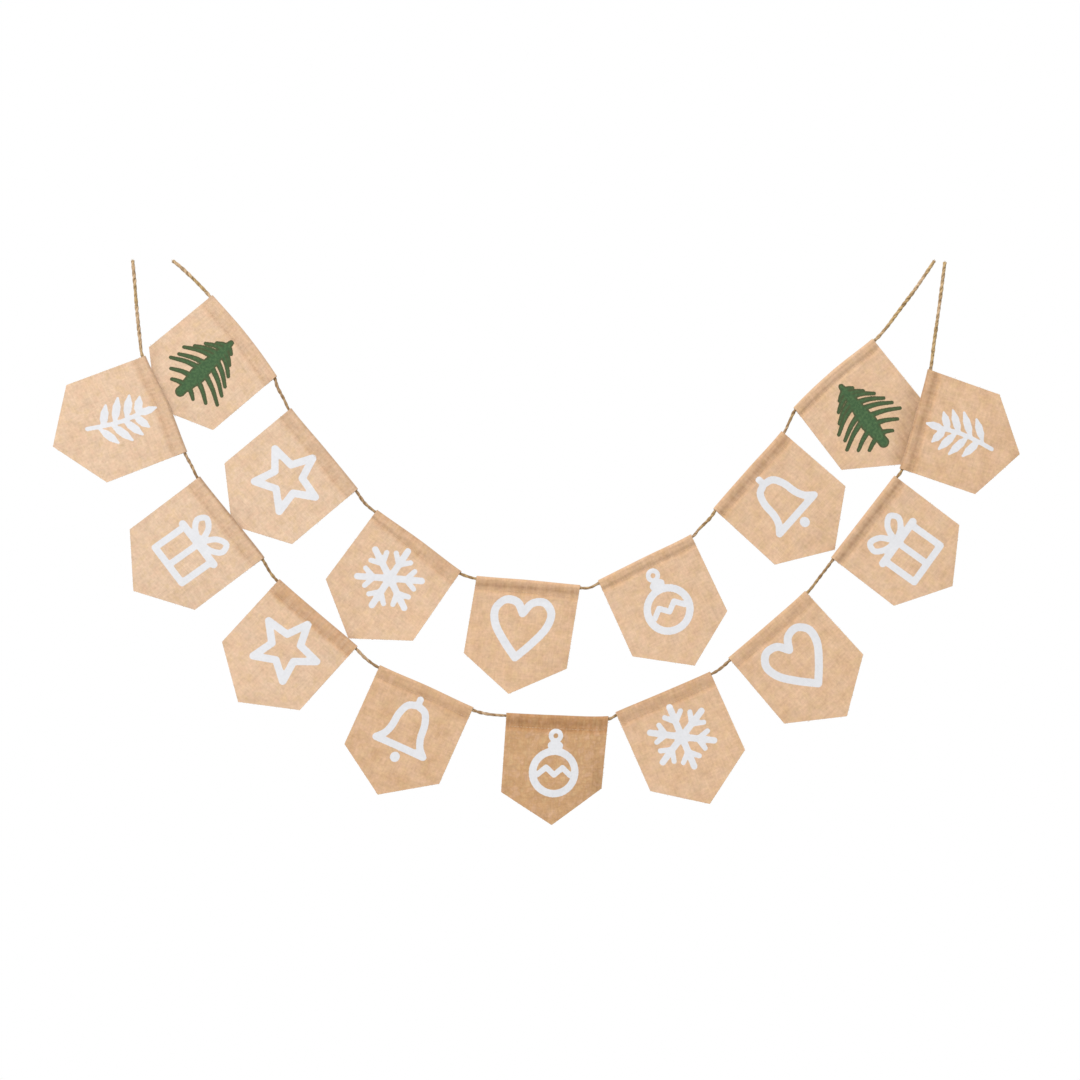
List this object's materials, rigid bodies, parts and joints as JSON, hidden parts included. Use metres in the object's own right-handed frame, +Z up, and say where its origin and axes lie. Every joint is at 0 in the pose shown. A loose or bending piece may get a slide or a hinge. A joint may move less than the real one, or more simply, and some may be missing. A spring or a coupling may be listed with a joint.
{
  "type": "fabric bunting",
  "caption": "Burlap bunting: five-sided pennants threaded by their casings on two jute twines that hang in deep loops, one row in front of the other.",
  "frame": {"origin": "the middle of the line that the twines are hung from, level with their four ends and midway between the two rows", "axes": "+X along the bunting to the viewer's right, +Y away from the viewer towards the wall, +Z up"},
  "size_m": [1.1726, 0.0139, 0.6862],
  "materials": {
    "burlap": "rough woven, matte",
    "jute": "twisted, hairy, matte"
  },
  "bodies": {
    "root": {"twine_upper": "jute", "twine_lower": "jute", "pennant_upper_1": "burlap", "pennant_upper_2": "burlap", "pennant_upper_3": "burlap", "pennant_upper_4": "burlap", "pennant_upper_5": "burlap", "pennant_upper_6": "burlap", "pennant_upper_7": "burlap", "pennant_lower_1": "burlap", "pennant_lower_2": "burlap", "pennant_lower_3": "burlap", "pennant_lower_4": "burlap", "pennant_lower_5": "burlap", "pennant_lower_6": "burlap", "pennant_lower_7": "burlap", "pennant_lower_8": "burlap", "pennant_lower_9": "burlap"}
  },
  "joints": []
}
